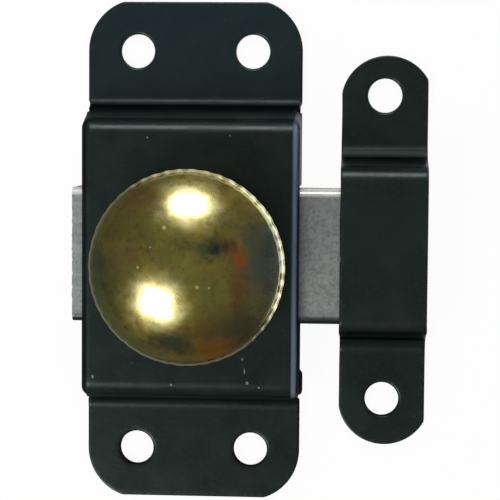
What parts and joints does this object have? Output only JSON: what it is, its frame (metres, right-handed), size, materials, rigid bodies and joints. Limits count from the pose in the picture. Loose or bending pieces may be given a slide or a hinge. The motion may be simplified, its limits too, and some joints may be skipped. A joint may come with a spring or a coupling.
{
  "type": "slide bolt",
  "caption": "Surface mounted slide bolt: a pressed black case, a flat folded bolt moved by a round brass knob, and a raised strap keeper that takes the bolt's end.",
  "frame": {"origin": "centre of the case's four screw holes, on the case's back, which lies on the door", "axes": "+X along the bolt towards the keeper, +Y along the case, +Z away from the door towards the user"},
  "size_m": [0.0447, 0.0636, 0.0206],
  "materials": {
    "black_paint": "semi-gloss black baked paint on pressed steel sheet",
    "zinc_plate": "dull zinc plating, slightly mottled",
    "knob_brass": "polished thin brass with brown and green tarnish"
  },
  "bodies": {
    "mounting": {"case": "black_paint", "keeper": "black_paint"},
    "slider": {"bolt": "zinc_plate", "knob_cap": "knob_brass", "knob_back": "zinc_plate", "knob_stud": "zinc_plate", "spring_washer": "zinc_plate"}
  },
  "joints": [
    {"name": "bolt_slide", "type": "slide", "parent": "mounting", "child": "slider", "axis": [1, 0, 0], "range_m": [-0.0085, 0]}
  ]
}
